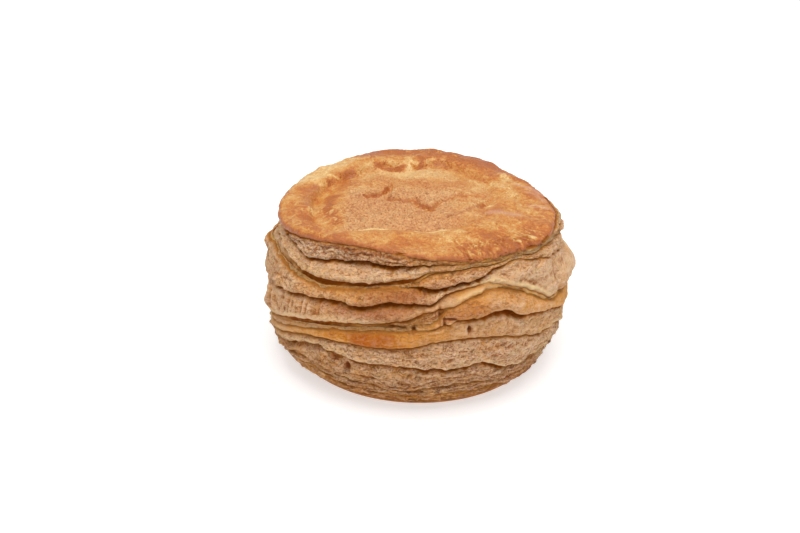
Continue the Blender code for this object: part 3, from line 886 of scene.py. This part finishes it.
rim = around(LID_RIM, bearing) - 0.25
height = MIDDLE_HEIGHT + (rim - MIDDLE_HEIGHT) * ease((share - 0.35) / 0.65)
height = height + EDGE_RISE * np.sqrt(1 - (1 - np.clip(from_rim / EDGE_ROUND, 0, 1)) ** 2)
middle_x, middle_y = x - PANEL_MIDDLE[0], y - PANEL_MIDDLE[1]
panel_bearing = np.degrees(np.arctan2(middle_x, -middle_y))
wander = on_drum(panel_bearing, 25, 0)
panel_edge = around(PANEL_EDGE, panel_bearing) + 0.8 * lumps(wander, 5, 62)
inside = panel_edge - np.hypot(middle_x, middle_y)
drop = around(PANEL_DROP, panel_bearing)
panel = ease((inside + 1.2) / 2.4)
height = height + 0.7 * ease(1 - abs(inside + 5) / 6) - (0.3 + 1.3 * drop) * panel
height = height + (0.6 + 0.8 * drop) * ease(inside / 13)
for points, rise in STEPS:
    away, left = from_line(points, x, y)
    height = height + 1.2 * rise * np.exp(-((away / 5) ** 2)) * (ease(left / 0.8 + 0.5) - 0.55)
for points, deep in GROOVES:
    away, _ = from_line(points, x, y)
    height = height - deep * np.exp(-((away / 0.9) ** 2))
cracked = 0
for points in CRACKS:
    away, _ = from_line(points, x, y + 0.4 * lumps(flat, 2, 63))
    cracked = cracked + np.exp(-((away / 0.8) ** 2))
height = height - 0.15 * cracked

dry = panel * ease((x + 25) / 5) * (1 - 0.55 * ease((y - 4) / 10)) * (1 - 0.6 * ease((x - 8) / 8))
crinkled = ease((bearing - 12) / 12) * ease((66 - bearing) / 10) * ease(1.15 - from_rim / 11)
radial = np.stack((bearing * 0.75, from_rim * 0.2, 0 * x), axis=-1)
height = height + 0.6 * lumps(flat, 10, 64) + 0.3 * lumps(flat, 5, 65) + 0.07 * lumps(flat, 1.8, 66)
height = height + 0.2 * (wrinkles(flat, (9, 5, 5), 67) - 0.3) - 0.08 * wrinkles(flat, 2.4, 74)
pleats = lumps(radial, 0.8, 70) + 0.7 * lumps(radial, 1.8, 75)
height = height + crinkled * 1.1 * pleats
height = height + dry * (0.4 * lumps(flat, 0.9, 71) - 0.4 * wrinkles(flat, 1.3, 72))
height = height + 0.12 * lumps(flat, 0.8, 73) * ease(1.2 - from_rim / 3)
height = np.where(turned_under > 0, rim - 0.15 - 0.5 * turned_under**2, height)

# Painted shade: how far each place lies below the mean of its neighbours, which darkens the crust in its
# hollows.
hollow = height
for axis in (0, 1):
    hollow = sum(np.roll(hollow, step, axis) for step in range(-3, 4)) / 7
# In the crinkles at the rim the valleys are painted darker, gold and brown, as shade, and the crests paler,
# as a highlight.
lid_finishes = {
    "dry": dry * (1 - np.clip(cracked + streaks(GOLDEN_STREAKS, x, y), 0, 1)),
    "hollow": np.where(ring < TOP_CELLS - 4, hollow - height, 0),
    "gold": streaks(GOLDEN_STREAKS, x, y) + crinkled * np.clip(-3 * pleats, 0, 1.5),
    "brown": np.maximum(streaks(BROWN_STREAKS, x, y), 0.6 * ease(1 - from_rim))
    + crinkled * np.clip(-1.8 * pleats - 0.1, 0, 0.8),
    "pale": streaks(PALE_STREAKS, x, y) + 1.1 * cracked + 0.1 * crinkled * np.clip(2 * pleats, 0, 1),
    "pink_highlight": streaks(PINK_HIGHLIGHT_STREAKS, x, y),
    "rim": ease(1 - from_rim / 1.3),
}

sheet = bmesh.new()
bmesh.ops.create_grid(sheet, x_segments=2 * LID_CELLS, y_segments=2 * LID_CELLS, size=1)
mesh = bpy.data.meshes.new("lid")
sheet.to_mesh(mesh)
order = grid_order(mesh, 2 * LID_CELLS + 1, 2 * LID_CELLS + 1)
places = np.stack((x, y, height), axis=-1)
mesh.vertices.foreach_set("co", (places[order] * MM).ravel())
lid = made_of("lid", mesh, lid_finishes, order)
sheet.clear()
sheet.from_mesh(mesh)
bmesh.ops.holes_fill(sheet, edges=[edge for edge in sheet.edges if edge.is_boundary])
bmesh.ops.recalc_face_normals(sheet, faces=sheet.faces)
sheet.to_mesh(mesh)
sheet.free()

# The crust's colour from a pale crack to deep gold, and the purple brown where it scorched,
# which also paints shade along a step and in the valleys of the rim's crinkles.
# The panel's dry skin and its spots have colours of their own, and the pink is a highlight painted on the
# glaze.
CRUST_BAKES = (
    (0.88, 0.59, 0.24), (0.75, 0.41, 0.13), (0.66, 0.275, 0.045), (0.58, 0.17, 0.018),
    (0.47, 0.125, 0.01),
)
SCORCHED_AND_SHADE = (0.44, 0.12, 0.035, 1)
DRY_SKIN = (0.74, 0.385, 0.165, 1)
SKIN_SPOTS = (0.40, 0.13, 0.045, 1)
PINK_HIGHLIGHT = (0.74, 0.43, 0.31, 1)

egg_wash = bpy.data.materials.new("egg_washed_crust")
egg_wash.use_nodes = True
tree = egg_wash.node_tree
shader = tree.nodes["Principled BSDF"]
shader.inputs["Coat Weight"].default_value = 0.12
shader.inputs["Coat Roughness"].default_value = 0.3
clouds = grain(tree, 11, detail=4, rough=0.55, warp=0.6)
mottle = grain(tree, 3, detail=5, rough=0.65, warp=1.0)
specks = grain(tree, 0.9, detail=3, rough=0.6, warp=0.5)
stipple = grain(tree, 0.45, detail=2)
skin_veins = grain(tree, 1.6, detail=3, rough=0.6, warp=1.2)
dry_skin = finish_value(tree, "dry")
brown = finish_value(tree, "brown")
gold = maths(tree, "MULTIPLY", finish_value(tree, "gold"), scaled(tree, mottle, 0.35, 0.62))
pale = maths(tree, "MULTIPLY", finish_value(tree, "pale"), scaled(tree, specks, 0.3, 0.6))
# The bake is darker in the hollows, as painted shade, and where the gold value is high, which is partly
# painted shade.
bake = total(
    tree,
    (clouds, 1.5),
    (mottle, 1.2),
    (specks, 0.9),
    (stipple, 0.9),
    (finish_value(tree, "hollow"), 0.6),
    (gold, 1.1),
    (pale, -1.1),
    (finish_value(tree, "rim"), 0.4),
    (dry_skin, -0.12),
    (1.0, -1.68),
)
colour = bake_colour(tree, bake, CRUST_BAKES)
# Purple brown where the brown value is high: scorching, with painted shade along a step and in the
# crinkles' valleys.
scorch_and_shade = scaled(tree, total(tree, (brown, 0.65), (mottle, 1.0), (1.0, -0.45)), 0.0, 1.0)
scorch_and_shade = maths(tree, "MULTIPLY", scorch_and_shade, scaled(tree, brown, 0.0, 0.2))
colour = blend(tree, scorch_and_shade, colour, SCORCHED_AND_SHADE)
veined = scaled(tree, maths(tree, "ABSOLUTE", maths(tree, "SUBTRACT", skin_veins, 0.5)), 0.05, 0.0)
spotting = total(
    tree,
    (scaled(tree, specks, 0.5, 0.68), 1.1),
    (scaled(tree, stipple, 0.5, 0.75), 0.7),
    (veined, 0.7),
)
dry_colour = blend(tree, scaled(tree, spotting, 0.0, 1.2), DRY_SKIN, SKIN_SPOTS)
colour = blend(tree, maths(tree, "MULTIPLY", dry_skin, 0.7), colour, dry_colour)
colour = blend(tree, maths(tree, "MULTIPLY", finish_value(tree, "pink_highlight"), 0.55), colour, PINK_HIGHLIGHT)
tree.links.new(colour, shader.inputs["Base Color"])
shine = tree.nodes.new("ShaderNodeMapRange")
shine.inputs["To Min"].default_value = 0.38
shine.inputs["To Max"].default_value = 0.62
tree.links.new(dry_skin, shine.inputs["Value"])
tree.links.new(shine.outputs["Result"], shader.inputs["Roughness"])
normal = bumped(tree, mottle, 0.8, 0.7)
normal = bumped(tree, specks, 0.6, 0.8, over=normal)
normal = bumped(tree, stipple, 0.3, 0.8, over=normal)
tree.links.new(normal, shader.inputs["Normal"])
lid.data.materials.append(egg_wash)
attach(lid, "root")
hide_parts("pastry")

# ---------------------------------------------------------------------------
# The table, the light and the camera
# A white table top in a white room, with one large soft light nearly overhead.
# ---------------------------------------------------------------------------

sheet = bmesh.new()
bmesh.ops.create_grid(sheet, x_segments=1, y_segments=1, size=3)
mesh = bpy.data.meshes.new("table_top")
sheet.to_mesh(mesh)
sheet.free()
table = bpy.data.objects.new("table_top", mesh)
bpy.context.scene.collection.objects.link(table)
white = bpy.data.materials.new("white_table")
white.use_nodes = True
white_shader = white.node_tree.nodes["Principled BSDF"]
white_shader.inputs["Base Color"].default_value = (0.6, 0.6, 0.6, 1)
white_shader.inputs["Roughness"].default_value = 0.9
white_shader.inputs["Emission Color"].default_value = (1, 1, 1, 1)
white_shader.inputs["Emission Strength"].default_value = 0.55
table.data.materials.append(white)

world = bpy.data.worlds.new("studio")
bpy.context.scene.world = world
world.use_nodes = True
world.node_tree.nodes["Background"].inputs["Color"].default_value = (1, 1, 1, 1)
world.node_tree.nodes["Background"].inputs["Strength"].default_value = 0.55

lamp = bpy.data.lights.new("key_light", "AREA")
lamp.size = 0.8
lamp.energy = 8.5
key_light = bpy.data.objects.new("key_light", lamp)
key_light.location = (0.05, -0.15, 1.0)
to_pastry = Vector((0, 0, 0.03)) - key_light.location
key_light.rotation_euler = to_pastry.to_track_quat("-Z", "Y").to_euler()
bpy.context.scene.collection.objects.link(key_light)

CAMERA_FROM = Vector((0, -0.304, 0.1734))
LOOK_AT = Vector((-0.0052, 0, 0.0257))
camera = bpy.data.objects.new("camera", bpy.data.cameras.new("camera"))
camera.location = CAMERA_FROM
camera.rotation_euler = (LOOK_AT - CAMERA_FROM).to_track_quat("-Z", "Y").to_euler()
camera.data.lens = 46.6
camera.data.clip_start = 0.01
bpy.context.scene.collection.objects.link(camera)
bpy.context.scene.camera = camera
bpy.context.scene.view_settings.view_transform = "Standard"
